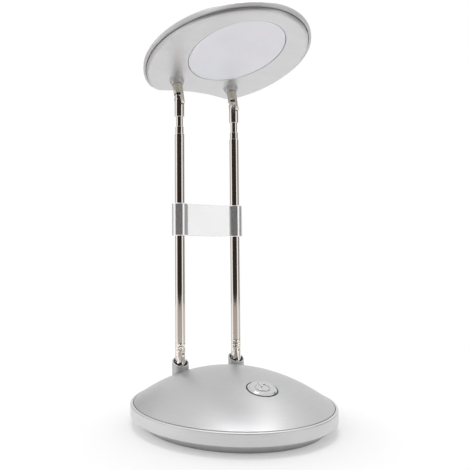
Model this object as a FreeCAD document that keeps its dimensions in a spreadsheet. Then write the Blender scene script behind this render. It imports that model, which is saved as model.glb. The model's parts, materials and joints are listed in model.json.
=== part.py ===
import FreeCAD, Part
import math
import os
import Sketcher

# Portable desk lamp: an oval domed base, two telescopic rods with knuckle hinges, and an oval lamp head.
# Millimetres, +Z up. The origin is on the ground under the middle of the base.
# The rods stand at the back (+Y), side by side along X, and the head reaches forward (-Y) over the base.

DIMENSIONS = [
    ("base_half_length", 64.0, "dome, front to back at the seam"),
    ("base_half_width", 52.0, "dome, side to side at the seam"),
    ("seam_height", 11.75, "where the dome meets the bottom cover"),
    ("crown_height", 29.85, "top of the dome"),
    ("skirt", 2.25, "dome edge that hides inside the bottom cover's rim"),
    ("wall", 2.0, "moulded covers"),
    ("seam_gap", 0.35, "dark line between two covers"),
    ("rim_out", 1.7, "rim of the bottom cover past the dome"),
    ("rim_drop", 0.15, "rim of the bottom cover below the seam"),
    ("rim_round", 0.7, "round on the rim's shoulder"),
    ("band_low", 5.5, "lower edge of the upright band"),
    ("foot_in", 4.7, "edge of the underside, inside the dome's edge"),
    ("ground_gap", 0.8, "underside above the ground"),
    ("floor_wall", 2.6, "floor of the bottom cover"),
    ("well_in", 7.5, "floor's edge inside the tray, inside the dome's edge"),
    ("well_knee", 7.1, "where the tray's wall turns upright, above the ground"),
    ("rod_spacing", 36.4, "between the two rods"),
    ("hinge_back", 30.0, "lower hinge line behind the middle"),
    ("hinge_height", 31.8, "lower hinge line above the ground"),
    ("socket_radius", 4.85, "outside of the socket on the dome"),
    ("socket_bore", 4.15, "inside of the socket"),
    ("socket_rim", 30.05, "rim of the socket above the ground, on its axis"),
    ("rim_slope", 26.0, "degrees, the rim falls to the front so that the rod folds down"),
    ("rim_soft", 0.2, "soft edges of the socket's rim"),
    ("socket_floor", 25.6, "seat of the stud's shoulder"),
    ("boss_bottom", 19.0, "underside of the socket's boss"),
    ("post_x", 34.5, "base screws, sideways"),
    ("post_y", 24.0, "base screws, front and back"),
    ("post_radius", 3.2, "screw post under the dome"),
    ("post_bottom", 6.0, "lower end of a screw post"),
    ("post_drill", 7.0, "depth of a screw post's hole"),
    ("pillar_radius", 4.0, "screw pillar in the bottom cover"),
    ("screw_radius", 1.25, "base screw"),
    ("screw_fit", 0.2, "round a screw in the bottom cover"),
    ("screw_length", 8.0, "base screw under its head"),
    ("screw_head", 2.5, "base screw's head"),
    ("screw_head_low", 2.5, "base screw's head above the ground"),
    ("screw_head_tall", 1.8, "base screw's head"),
    ("cross_long", 3.4, "cross recess of a base screw"),
    ("cross_wide", 0.7, "cross recess of a base screw"),
    ("cross_deep", 0.8, "cross recess of a base screw"),
    ("button_front", 35.5, "button ahead of the middle"),
    ("button_radius", 7.5, "button cap"),
    ("button_hole", 8.15, "dome's hole for the button"),
    ("hole_bevel", 0.4, "bevelled edge of the button's hole"),
    ("button_proud", 0.6, "cap above the dome's skin"),
    ("cap_bevel", 0.95, "bevelled edge of the cap"),
    ("cap_dish", 0.15, "hollow of the cap's face"),
    ("button_flange", 8.8, "button's flange under the dome"),
    ("flange_low", 3.6, "underside of the button's flange below the dome's skin"),
    ("flange_rise", 0.8, "button's flange"),
    ("stem_radius", 2.0, "button's stem"),
    ("stem_low", 5.9, "end of the button's stem below the dome's skin"),
    ("button_collar", 10.0, "guide round the flange"),
    ("collar_low", 6.5, "guide below the dome's skin"),
    ("flange_fit", 0.1, "round the button's flange"),
    ("board_depth", 12.2, "circuit board's face below the dome's skin"),
    ("board_thick", 1.6, "circuit board"),
    ("board_long", 29.0, "circuit board"),
    ("board_wide", 15.0, "circuit board"),
    ("board_post_x", 11.4, "circuit board's posts"),
    ("board_post_radius", 1.8, "circuit board's posts"),
    ("board_drill", 5.0, "depth of a small screw's hole"),
    ("small_screw", 0.8, "screws of the two boards"),
    ("small_head", 1.6, "heads of the two boards' screws"),
    ("small_head_tall", 0.9, "heads of the two boards' screws"),
    ("plunger_radius", 1.5, "switch plunger"),
    ("plunger_long", 4.5, "switch plunger"),
    ("plunger_fit", 0.1, "round the switch plunger"),
    ("switch_side", 7.0, "switch housing"),
    ("switch_tall", 4.8, "switch housing"),
    ("switch_floor", 0.3, "switch housing under its plunger"),
    ("coil_radius", 3.0, "coil on the circuit board"),
    ("coil_tall", 3.2, "coil on the circuit board"),
    ("chip_side", 4.0, "regulator on the circuit board"),
    ("chip_tall", 1.2, "regulator on the circuit board"),
    ("capacitor_radius", 1.6, "capacitors on the circuit board"),
    ("capacitor_tall", 3.4, "capacitors on the circuit board"),
    ("capacitor_pitch", 4.2, "capacitors on the circuit board"),
    ("cell_radius", 7.1, "AA cell"),
    ("cell_body", 49.2, "AA cell without its cap"),
    ("cell_cap", 1.3, "AA cell's cap"),
    ("cap_radius", 2.7, "AA cell's cap"),
    ("cell_pitch", 14.5, "from cell to cell"),
    ("cell_axis", 10.0, "cells above the ground"),
    ("contact_thick", 0.4, "battery contacts"),
    ("contact_half", 5.0, "leaf contact's plate, half its height"),
    ("leaf_reach", 3.5, "leaf contact, from the bay's wall to the cell"),
    ("leaf_return", 1.0, "leaf contact's tip, from the bay's wall"),
    ("leaf_wide", 6.0, "leaf contact"),
    ("flat_side", 9.0, "flat contact"),
    ("bay_half_x", 27.2, "battery bay, inside"),
    ("bay_half_y", 21.9, "battery bay, inside"),
    ("bay_top", 17.6, "battery bay, inside"),
    ("bay_wall", 1.2, "battery bay's wall"),
    ("door_half_x", 29.0, "battery door"),
    ("door_half_y", 23.5, "battery door"),
    ("door_thick", 1.5, "battery door"),
    ("door_travel", 8.0, "battery door, to the back"),
    ("door_gap", 0.2, "round the battery door"),
    ("rail_out", 1.2, "battery door's rails"),
    ("rail_thick", 0.75, "battery door's rails"),
    ("grip_radius", 0.6, "thumb grooves on the battery door"),
    ("grip_long", 14.0, "thumb grooves on the battery door"),
    ("grip_start", 10.0, "first thumb groove behind the middle"),
    ("grip_pitch", 2.6, "from groove to groove"),
    ("pad_x", 26.0, "rubber feet, sideways"),
    ("pad_y", 40.0, "rubber feet, front and back"),
    ("pad_radius", 4.5, "rubber foot"),
    ("pad_bevel", 0.3, "bevelled edge of a rubber foot"),
    ("pad_fit", 0.1, "round a rubber foot"),
    ("pad_seat", 1.2, "seat of a rubber foot above the ground"),
    ("rod_radius", 3.0, "outer tube and knuckles"),
    ("outer_bore", 2.75, "outer tube"),
    ("outer_mouth", 2.65, "crimped mouth of the outer tube"),
    ("middle_radius", 2.6, "middle tube"),
    ("middle_bore", 2.3, "middle tube"),
    ("middle_mouth", 2.2, "crimped mouth of the middle tube"),
    ("inner_radius", 2.15, "inner rod"),
    ("slide_fit", 0.05, "running gap of the telescopes, on the radius"),
    ("outer_start", 3.75, "outer tube's lower end above the lower hinge"),
    ("outer_end", 133.1, "outer tube's upper end"),
    ("middle_start", 21.0, "middle tube's lower end"),
    ("middle_end", 137.5, "middle tube's upper end"),
    ("inner_start", 33.5, "inner rod's lower end"),
    ("inner_end", 143.6, "where the inner rod meets its tip"),
    ("upper_hinge", 154.1, "upper hinge line above the lower one"),
    ("tube_bevel", 0.2, "bevelled end of a tube"),
    ("crimp", 1.6, "length of a crimped mouth"),
    ("crimp_lead", 0.6, "cone below a crimped mouth"),
    ("bush_length", 4.0, "friction bush below a telescope section"),
    ("bush_plug", 3.0, "part of the bush inside its section"),
    ("bush_neck", 1.2, "inner rod's bush, where the rod sits round it"),
    ("bush_bore", 0.6, "hole through a bush"),
    ("bush_bevel", 0.3, "bevelled end of a bush"),
    ("foot_plug", 8.0, "part of the tube's foot inside the outer tube"),
    ("tip_plug_radius", 1.5, "inner rod's end inside its tip"),
    ("tip_plug", 5.0, "inner rod's end inside its tip"),
    ("ear_radius", 3.2, "rounded end of a knuckle's ear"),
    ("ear_thick", 2.75, "ear's outer face from the middle plane"),
    ("ear_gap", 0.05, "ear's inner face from the middle plane"),
    ("ear_relief", 3.45, "shoulder beside an ear, from the hinge line"),
    ("ear_soft", 0.8, "soft edge of an ear's outer face"),
    ("pin_radius", 1.0, "knuckle pin"),
    ("pin_fit", 0.05, "running gap round the pin"),
    ("pin_head", 1.9, "knuckle pin's head"),
    ("pin_head_tall", 0.55, "knuckle pin's head"),
    ("pin_crown", 0.2, "crown of the pin's head past the ear"),
    ("pin_short", 0.3, "pin's end inside the far ear's face"),
    ("shank_radius", 1.9, "threaded end of a stud"),
    ("shank_past", 1.3, "base stud past its nut"),
    ("head_shank_past", 0.4, "head stud past its nut"),
    ("nut_radius", 3.8, "stud nut, across its corners"),
    ("nut_thick", 2.0, "stud nut"),
    ("tag_radius", 3.3, "ring terminal"),
    ("tag_thick", 0.5, "ring terminal"),
    ("tag_long", 8.5, "ring terminal's tail, from the stud's axis"),
    ("tag_wide", 2.4, "ring terminal's tail"),
    ("clip_low", 72.0, "clip's lower edge above the lower hinge"),
    ("clip_tall", 19.3, "clip"),
    ("clip_radius", 4.75, "clip's sleeve"),
    ("clip_fit", 0.06, "running gap of the sleeve, on the radius"),
    ("clip_plate", 3.4, "plate between the sleeves"),
    ("clip_soft", 0.5, "soft edges of the clip"),
    ("head_tilt", 5.9, "degrees, front end up"),
    ("head_half_length", 60.3, "lamp head's oval at its seam"),
    ("head_half_width", 42.7, "lamp head's oval at its seam"),
    ("head_forward", 25.9, "oval's middle ahead of the upper hinge"),
    ("head_seam", 15.75, "seam above the upper hinge"),
    ("plate_drop", 2.3, "underside below the seam"),
    ("plate_round", 1.8, "round on the underside's edge"),
    ("plate_wall", 1.9, "underside plate"),
    ("plate_skirt", 1.45, "plate's edge inside the top cover's rim"),
    ("notch_back", 17.3, "waist of the back edge behind the upper hinge"),
    ("notch_radius", 62.0, "hollow back edge"),
    ("lobe_round", 7.5, "corners beside the hollow back edge"),
    ("head_rim_out", 1.6, "head's top cover past the underside plate"),
    ("head_rim_low", 0.2, "top cover's rim below the seam"),
    ("head_side", 3.0, "upright side of the head's top cover"),
    ("head_crown", 6.0, "rise of the head's top"),
    ("head_round", 2.2, "round between the side and the top"),
    ("stud_lean", 12.0, "degrees, head studs lean back from the head's normal"),
    ("collar_start", 10.4, "mouth of the head's boss, from the upper hinge"),
    ("collar_end", 15.2, "root of the head's boss, from the upper hinge"),
    ("collar_radius", 3.75, "mouth of the head's boss"),
    ("collar_root", 4.9, "root of the head's boss"),
    ("collar_bore", 3.15, "bore of the head's boss"),
    ("stud_seat", 13.5, "seat of the head stud's shoulder"),
    ("nut_seat", 16.9, "seat of the head stud's nut"),
    ("nut_boss", 4.1, "boss under the head stud's nut"),
    ("nut_boss_tall", 2.5, "boss under the head stud's nut"),
    ("lens_half_length", 36.2, "diffuser"),
    ("lens_half_width", 24.0, "diffuser"),
    ("lens_forward", 40.9, "diffuser's middle ahead of the upper hinge"),
    ("lens_gap", 0.3, "line round the diffuser"),
    ("lens_bevel", 0.25, "bevelled edge of the plate round the diffuser"),
    ("lens_recess", 0.25, "diffuser below the underside's skin"),
    ("lens_flange_out", 1.8, "diffuser's flange inside the head"),
    ("lens_flange", 0.8, "diffuser's flange"),
    ("mouth_in", 1.0, "reflector's mouth inside the diffuser's edge"),
    ("throat_in", 3.0, "reflector's throat inside the diffuser's edge"),
    ("led_board_low", 17.4, "LED board above the upper hinge"),
    ("led_board_thick", 1.0, "LED board"),
    ("led_post_x", 28.5, "LED board's posts"),
    ("led_post", 2.0, "LED board's posts"),
    ("led_ear_wide", 5.0, "LED board's ears"),
    ("led_screw_long", 2.9, "LED board's screws"),
    ("led_wide", 2.8, "LED"),
    ("led_long", 3.5, "LED"),
    ("led_tall", 0.8, "LED"),
    ("led_pitch", 8.5, "from LED to LED"),
]

doc = FreeCAD.newDocument("portable_desk_lamp")
sheet = doc.addObject("Spreadsheet::Sheet", "dims")
for row, (alias, number, note) in enumerate(DIMENSIONS, 1):
    sheet.set(f"A{row}", alias)
    sheet.set(f"B{row}", str(number))
    sheet.set(f"C{row}", note)
    sheet.setAlias(f"B{row}", alias)
doc.recompute()

pieces = []


def size(alias):
    return float(sheet.get(alias))


# Places, as expressions over the sheet. A place is a chain of moves and turns.
def move(x="0", y="0", z="0"):
    return f"placement(vector({x}; {y}; {z}); rotation(vector(1; 0; 0); 0))"


def turn(axis, angle):
    direction = {"x": "1; 0; 0", "y": "0; 1; 0", "z": "0; 0; 1"}[axis]
    return f"placement(vector(0; 0; 0); rotation(vector({direction}); {angle}))"


# How long a tool is that cuts right through, how far one starts outside, and when two places count as one
LONG = "40"
PAST = "1"
TOUCH = 0.01

CAP_RISE = "(dims.crown_height - dims.seam_height)"
CAP_RADIUS = f"((dims.base_half_length ^ 2 + {CAP_RISE} ^ 2) / (2 * {CAP_RISE}))"
CAP_RADIUS_X = f"({CAP_RADIUS} * dims.base_half_width / dims.base_half_length)"
CAP_CENTRE = f"(dims.crown_height - {CAP_RADIUS})"
RIM_TOP = "(dims.seam_height - dims.rim_drop)"
SKIRT_LOW = "(dims.seam_height - dims.skirt)"
FLOOR_TOP = "(dims.ground_gap + dims.floor_wall)"
DOOR_TOP = "(dims.ground_gap + dims.door_thick)"
BUTTON_TILT = f"asin(dims.button_front / {CAP_RADIUS})"
BUTTON_HEIGHT = f"({CAP_CENTRE} + sqrt({CAP_RADIUS} ^ 2 - dims.button_front ^ 2))"
FLANGE_TOP = "(dims.flange_rise - dims.flange_low)"
BOARD_LOW = "(-dims.board_depth - dims.board_thick)"
PLATE_FACE = "(dims.head_seam - dims.plate_drop)"
PLATE_INSIDE = f"({PLATE_FACE} + dims.plate_wall)"
SKIRT_TOP = "(dims.head_seam + dims.plate_skirt)"
HEAD_RIM = "(dims.head_seam - dims.head_rim_low)"
LED_BOARD_TOP = "(dims.led_board_low + dims.led_board_thick)"
STUD_DROP = "(dims.hinge_height - dims.socket_floor)"
NUT_STACK = "(dims.tag_thick + dims.nut_thick)"

SIDES = {"left": "-dims.rod_spacing / 2", "right": "dims.rod_spacing / 2"}
LYING = turn("y", "90")
UPSIDE_DOWN = turn("x", "180")
AT_BUTTON = move(y="-dims.button_front", z=BUTTON_HEIGHT) + " * " + turn("x", BUTTON_TILT)
UPPER_HEIGHT = "dims.hinge_height + dims.upper_hinge"
AT_HEAD = move(y="dims.hinge_back", z=UPPER_HEIGHT) + " * " + turn("x", "-dims.head_tilt")
STUD_LEAN = turn("x", "-dims.stud_lean")
HEAD_STUD_LEAN = turn("x", "-dims.head_tilt - dims.stud_lean")


def at_lower(side):
    return move(SIDES[side], "dims.hinge_back", "dims.hinge_height")


def at_upper(side):
    return move(SIDES[side], "dims.hinge_back", UPPER_HEIGHT)


def four_corners(x, y):
    return [(f"{sx}{x}", f"{sy}{y}") for sx in ("-", "") for sy in ("-", "")]


# Objects and their sizes
def bind(obj, **expressions):
    for prop, text in expressions.items():
        obj.setExpression(prop, text)
    return obj


def place(obj, *steps):
    if steps:
        obj.setExpression("Placement", " * ".join(steps))
    return obj


def keep(obj, label, *steps):
    place(obj, *steps)
    obj.Label = label
    pieces.append(obj)


def box(name, length, width, height, *steps):
    return place(bind(doc.addObject("Part::Box", name), Length=length, Width=width, Height=height), *steps)


def slab(name, length, width, height, *steps):
    middle = move(f"-({length}) / 2", f"-({width}) / 2")
    return box(name, length, width, height, *steps, middle)


def cylinder(name, radius, height, *steps):
    return place(bind(doc.addObject("Part::Cylinder", name), Radius=radius, Height=height), *steps)


def cone(name, radius_low, radius_high, height, *steps):
    obj = doc.addObject("Part::Cone", name)
    return place(bind(obj, Radius1=radius_low, Radius2=radius_high, Height=height), *steps)


def hexagon(name, radius, height, *steps):
    obj = doc.addObject("Part::Prism", name)
    obj.Polygon = 6
    return place(bind(obj, Circumradius=radius, Height=height), *steps)


def ellipsoid(name, half_x, half_y, half_z, *steps):
    obj = doc.addObject("Part::Ellipsoid", name)
    obj.Angle1 = -90
    obj.Angle2 = 90
    return place(bind(obj, Radius1=half_z, Radius2=half_x, Radius3=half_y), *steps)


def oval_wire(name, half_width, half_length, forward, height):
    obj = bind(doc.addObject("Part::Ellipse", name), MajorRadius=half_length, MinorRadius=half_width)
    return place(obj, move(y=f"-({forward})", z=height), turn("z", "90"))


def tapered_oval(name, low, high):
    obj = doc.addObject("Part::Loft", name)
    obj.Sections = [oval_wire(f"{name}_low", *low), oval_wire(f"{name}_high", *high)]
    obj.Solid = True
    obj.Ruled = True
    return obj


def fuse(name, *shapes):
    obj = doc.addObject("Part::MultiFuse", name)
    obj.Shapes = list(shapes)
    return obj


def common(name, *shapes):
    obj = doc.addObject("Part::MultiCommon", name)
    obj.Shapes = list(shapes)
    return obj


def cut(name, base, *tools):
    obj = doc.addObject("Part::Cut", name)
    obj.Base = base
    obj.Tool = tools[0] if len(tools) == 1 else fuse(f"{name}_tools", *tools)
    return obj


def group(name, *shapes):
    obj = doc.addObject("Part::Compound", name)
    obj.Links = list(shapes)
    return obj


def round_edges(name, base, radius, pick):
    doc.recompute()
    obj = doc.addObject("Part::Fillet", name)
    obj.Base = base
    obj.Edges = [(i, radius, radius) for i, edge in enumerate(base.Shape.Edges, 1) if pick(edge)]
    return obj


def points_of(edge):
    step = (edge.LastParameter - edge.FirstParameter) / 6
    return [edge.valueAt(edge.FirstParameter + step * i) for i in range(7)]


def flat_at(height):
    return lambda edge: all(abs(point.z - height) < TOUCH for point in points_of(edge))


# Sketches, and the bodies made from them
def sketch_on(body, name, plane, lift="0"):
    sketch = body.newObject("Sketcher::SketchObject", name)
    support = next(feature for feature in body.Origin.OriginFeatures if feature.Role == plane)
    sketch.AttachmentSupport = [(support, "")]
    sketch.MapMode = "FlatFace"
    sketch.setExpression("AttachmentOffset.Base.z", lift)
    return sketch


def constrain(sketch, kind, *args, to):
    number = sketch.addConstraint(Sketcher.Constraint(kind, *args, 1.0))
    sketch.setExpression(f"Constraints[{number}]", to)


def draw_oval(sketch, half_width, half_length, forward):
    end = FreeCAD.Vector(0, 60, 0)
    side = FreeCAD.Vector(50, 0, 0)
    oval = sketch.addGeometry(Part.Ellipse(end, side, FreeCAD.Vector(0, 0, 0)), False)
    sketch.exposeInternalGeometry(oval)
    long_axis, short_axis = oval + 1, oval + 2
    sketch.addConstraint(Sketcher.Constraint("Vertical", long_axis))
    constrain(sketch, "DistanceX", -1, 1, oval, 3, to="0")
    constrain(sketch, "DistanceY", -1, 1, oval, 3, to=f"-({forward})")
    constrain(sketch, "Distance", long_axis, to=f"2 * ({half_length})")
    constrain(sketch, "Distance", short_axis, to=f"2 * ({half_width})")


def draw_outline(sketch, points):
    count = len(points)
    for i in range(count):
        here = FreeCAD.Vector(i, i * i, 0)
        there = FreeCAD.Vector((i + 1) % count, ((i + 1) % count) ** 2, 0)
        sketch.addGeometry(Part.LineSegment(here, there), False)
    for i in range(count):
        sketch.addConstraint(Sketcher.Constraint("Coincident", i, 2, (i + 1) % count, 1))
    for i, (across, up) in enumerate(points):
        constrain(sketch, "DistanceX", -1, 1, i, 1, to=across)
        constrain(sketch, "DistanceY", -1, 1, i, 1, to=up)


def oval_layers(name, *layers):
    body = doc.addObject("PartDesign::Body", name)
    for i, (half_width, half_length, forward, bottom, height) in enumerate(layers):
        sketch = sketch_on(body, f"{name}_oval_{i}", "XY_Plane", bottom)
        draw_oval(sketch, half_width, half_length, forward)
        pad = body.newObject("PartDesign::Pad", f"{name}_pad_{i}")
        pad.Profile = sketch
        bind(pad, Length=height)
    return body


def turned(name, points, *steps):
    body = doc.addObject("PartDesign::Body", name)
    sketch = sketch_on(body, f"{name}_profile", "XZ_Plane")
    draw_outline(sketch, points)
    revolution = body.newObject("PartDesign::Revolution", f"{name}_turn")
    revolution.Profile = sketch
    revolution.ReferenceAxis = (sketch, ["V_Axis"])
    revolution.Angle = 360
    return place(body, *steps)


def strip(name, points, width, *steps):
    body = doc.addObject("PartDesign::Body", name)
    sketch = sketch_on(body, f"{name}_profile", "XZ_Plane")
    draw_outline(sketch, points)
    pad = body.newObject("PartDesign::Pad", f"{name}_pad")
    pad.Profile = sketch
    pad.Midplane = True
    bind(pad, Length=width)
    return place(body, *steps)


# Base: dome with its sockets, screw posts and the button's guide
def base_inset(inset):
    return f"dims.base_half_width - ({inset})", f"dims.base_half_length - ({inset})", "0"


def base_oval(name, inset, bottom, height):
    return oval_layers(name, (*base_inset(inset), bottom, height))


def dome_shell(cap):
    dome = common("dome_solid", base_oval("dome_outline", "0", SKIRT_LOW, LONG), cap)
    inside = [f"{radius} - dims.wall" for radius in (CAP_RADIUS_X, CAP_RADIUS, CAP_RADIUS)]
    hollow_cap = ellipsoid("hollow_cap", *inside, move(z=CAP_CENTRE))
    hollow_outline = base_oval("hollow_outline", "dims.wall", f"{SKIRT_LOW} - {PAST}", LONG)
    return cut("dome_shell", dome, common("dome_hollow", hollow_outline, hollow_cap))


def dome_posts():
    posts = []
    holes = []
    for i, (x, y) in enumerate(four_corners("dims.post_x", "dims.post_y")):
        foot = move(x, y, "dims.post_bottom")
        posts.append(cylinder(f"post_{i}", "dims.post_radius", "dims.crown_height", foot))
        holes.append(cylinder(f"post_hole_{i}", "dims.screw_radius", "dims.post_drill", foot))
    for i, sign in enumerate(("-", "")):
        foot = (AT_BUTTON, move(x=f"{sign}dims.board_post_x", z="-dims.board_depth"))
        posts.append(cylinder(f"board_post_{i}", "dims.board_post_radius", "dims.board_depth", *foot))
        holes.append(cylinder(f"board_post_hole_{i}", "dims.small_screw", "dims.board_drill", *foot))
    return posts, holes


def button_guide():
    tall = "dims.collar_low"
    collar = cylinder("collar", "dims.button_collar", tall, AT_BUTTON, move(z=f"-{tall}"))
    bore_start = move(z=f"{FLANGE_TOP} + 2 * dims.flange_fit - {tall}")
    bore = cylinder("collar_bore", "dims.button_flange + dims.flange_fit", tall, AT_BUTTON, bore_start)
    hole = cylinder("button_hole", "dims.button_hole", LONG, AT_BUTTON, move(z="-dims.board_depth"))
    bevel_tall = f"dims.hole_bevel + {PAST}"
    bevel_size = ("dims.button_hole", f"dims.button_hole + {bevel_tall}", bevel_tall)
    bevel = cone("hole_bevel", *bevel_size, AT_BUTTON, move(z="-dims.hole_bevel"))
    return collar, [bore, hole, bevel]


def rod_sockets():
    sockets = []
    holes = []
    for side, x in SIDES.items():
        boss = move(x, "dims.hinge_back", "dims.boss_bottom")
        seat = move(x, "dims.hinge_back", "dims.socket_floor")
        sockets.append(cylinder(f"{side}_socket", "dims.socket_radius", LONG, boss))
        holes.append(cylinder(f"{side}_socket_bore", "dims.socket_bore", LONG, seat))
        holes.append(cylinder(f"{side}_stud_hole", "dims.shank_radius", LONG, move(z=f"-{PAST}"), boss))
    rim = (move(y="dims.hinge_back", z="dims.socket_rim"), turn("x", "dims.rim_slope"))
    wide = f"2 * {LONG}"
    above_rims = slab("above_rims", wide, wide, wide, *rim)
    return cut("sloped_sockets", fuse("tall_sockets", *sockets), above_rims), holes


def base_top_cover():
    cap = ellipsoid("dome_cap", CAP_RADIUS_X, CAP_RADIUS, CAP_RADIUS, move(z=CAP_CENTRE))
    shell = dome_shell(cap)
    posts, post_holes = dome_posts()
    collar, button_holes = button_guide()
    trimmed = common("posts_under_dome", fuse("all_posts", *posts, collar), cap)
    sockets, socket_holes = rod_sockets()
    blank = fuse("dome_with_bosses", shell, trimmed, sockets)
    drilled = cut("dome_drilled", blank, *post_holes, *button_holes, *socket_holes)
    rise = math.tan(math.radians(size("rim_slope")))

    def on_rim(edge):
        heights = [point.z - rise * (point.y - size("hinge_back")) for point in points_of(edge)]
        return all(abs(height - size("socket_rim")) < TOUCH for height in heights)

    keep(round_edges("dome_rounded", drilled, size("rim_soft"), on_rim), "base_top_cover")


# Base: tray with the battery bay, the door's recess and the screw pillars
def bottom_tray():
    foot = (*base_inset("dims.foot_in"), "dims.ground_gap")
    edge = (*base_inset("-dims.rim_out"), "dims.band_low")
    band = base_oval("band", "-dims.rim_out", "dims.band_low", f"{RIM_TOP} - dims.band_low")
    block = fuse("bottom_block", tapered_oval("underside", foot, edge), band)
    shoulder = size("seam_height") - size("rim_drop")
    rounded = round_edges("bottom_rounded", block, size("rim_round"), flat_at(shoulder))
    low = (*base_inset("dims.well_in"), FLOOR_TOP)
    high = (*base_inset("dims.wall"), "dims.well_knee")
    well = tapered_oval("well", low, high)
    upper = base_oval("well_upper", "dims.wall", "dims.well_knee", LONG)
    ledge = base_oval("rim_step", "-dims.seam_gap", SKIRT_LOW, LONG)
    return cut("tray", rounded, well, upper, ledge)


def screw_pillars():
    pillars = []
    holes = []
    drill = "dims.screw_radius + dims.screw_fit"
    head_drill = "dims.screw_head + 2 * dims.screw_fit"
    head_top = "dims.screw_head_low + dims.screw_head_tall"
    for i, (x, y) in enumerate(four_corners("dims.post_x", "dims.post_y")):
        tall = "dims.post_bottom - dims.ground_gap"
        pillars.append(cylinder(f"pillar_{i}", "dims.pillar_radius", tall, move(x, y, "dims.ground_gap")))
        holes.append(cylinder(f"pillar_hole_{i}", drill, LONG, move(x, y)))
        holes.append(cylinder(f"counterbore_{i}", head_drill, head_top, move(x, y)))
    return pillars, holes


def door_recess():
    long = "2 * (dims.door_half_y + dims.door_gap) + dims.door_travel"
    wide = "2 * (dims.door_half_x + dims.door_gap)"
    recess = slab("recess", wide, long, f"{DOOR_TOP} + dims.door_gap / 2", move(y="dims.door_travel / 2"))
    groove_wide = "2 * (dims.door_half_x + dims.rail_out + dims.door_gap)"
    groove_low = move(y="dims.door_travel / 2", z=f"{DOOR_TOP} - dims.rail_thick - dims.door_gap / 2")
    groove = slab("rail_groove", groove_wide, long, "dims.rail_thick + dims.door_gap", groove_low)
    return [recess, groove]


def base_bottom_cover():
    bay_size = ("2 * (dims.bay_half_x + dims.bay_wall)", "2 * (dims.bay_half_y + dims.bay_wall)")
    bay_tall = "dims.bay_top + dims.bay_wall - dims.ground_gap"
    bay = slab("bay_outside", *bay_size, bay_tall, move(z="dims.ground_gap"))
    hollow = slab("bay_inside", "2 * dims.bay_half_x", "2 * dims.bay_half_y", "dims.bay_top")
    pillars, holes = screw_pillars()
    seat_size = ("dims.pad_radius + dims.pad_fit", "dims.pad_seat")
    for i, (x, y) in enumerate(four_corners("dims.pad_x", "dims.pad_y")):
        holes.append(cylinder(f"pad_seat_{i}", *seat_size, move(x, y)))
    blank = fuse("tray_with_bay", bottom_tray(), bay, *pillars)
    keep(cut("bottom_cover", blank, hollow, *holes, *door_recess()), "base_bottom_cover")


def battery_door():
    long = "2 * dims.door_half_y"
    plate = slab("door_plate", "2 * dims.door_half_x", long, "dims.door_thick", move(z="dims.ground_gap"))
    rail_wide = "2 * (dims.door_half_x + dims.rail_out)"
    rails = slab("door_rails", rail_wide, long, "dims.rail_thick", move(z=f"{DOOR_TOP} - dims.rail_thick"))
    grips = []
    for i in range(4):
        start = move("-dims.grip_long / 2", f"dims.grip_start + {i} * dims.grip_pitch", "dims.ground_gap")
        grips.append(cylinder(f"door_grip_{i}", "dims.grip_radius", "dims.grip_long", start, LYING))
    keep(cut("door_with_grips", fuse("door_blank", plate, rails), *grips), "battery_door")


def rubber_feet():
    feet = []
    for i, (x, y) in enumerate(four_corners("dims.pad_x", "dims.pad_y")):
        tip = "dims.pad_radius - dims.pad_bevel"
        low = cone(f"foot_low_{i}", tip, "dims.pad_radius", "dims.pad_bevel", move(x, y))
        rest = "dims.pad_seat - dims.pad_bevel"
        high = cylinder(f"foot_high_{i}", "dims.pad_radius", rest, move(x, y, "dims.pad_bevel"))
        feet.append(fuse(f"foot_{i}", low, high))
    keep(group("feet", *feet), "rubber_feet")


# Base: three cells side by side, every second one turned round, with their contacts
def batteries():
    leaf_points = [
        ("0", "-dims.contact_half"),
        ("dims.contact_thick", "-dims.contact_half"),
        ("dims.contact_thick", "dims.contact_half - 2 * dims.contact_thick"),
        ("dims.leaf_reach - dims.contact_thick", "0"),
        ("dims.leaf_return", "-dims.leaf_reach"),
        ("dims.leaf_return + dims.contact_thick", "-dims.leaf_reach"),
        ("dims.leaf_reach", "0"),
        ("1.5 * dims.contact_thick", "dims.contact_half"),
        ("0", "dims.contact_half"),
    ]
    cap_end = "dims.bay_half_x - dims.contact_thick"
    cap_start = f"{cap_end} - dims.cell_cap"
    flat_corner = move(cap_end, "-dims.flat_side / 2", "-dims.flat_side / 2")
    cells = []
    leaves = []
    flats = []
    for i, half_turn in enumerate(("0", "180", "0")):
        row = [turn("z", half_turn), move(y=f"({i} - 1) * dims.cell_pitch", z="dims.cell_axis")]
        if half_turn != "0":
            row.reverse()
        can_start = move(x=f"{cap_start} - dims.cell_body")
        can = cylinder(f"cell_can_{i}", "dims.cell_radius", "dims.cell_body", *row, can_start, LYING)
        nub = cylinder(f"cell_nub_{i}", "dims.cap_radius", "dims.cell_cap", *row, move(x=cap_start), LYING)
        cells.append(fuse(f"cell_{i}", can, nub))
        leaves.append(strip(f"leaf_{i}", leaf_points, "dims.leaf_wide", *row, move(x="-dims.bay_half_x")))
        flat_size = ("dims.contact_thick", "dims.flat_side", "dims.flat_side")
        flats.append(box(f"flat_{i}", *flat_size, *row, flat_corner))
    keep(group("cell_group", *cells), "battery_cells")
    keep(group("leaf_group", *leaves), "spring_contacts")
    keep(group("flat_group", *flats), "flat_contacts")


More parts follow.
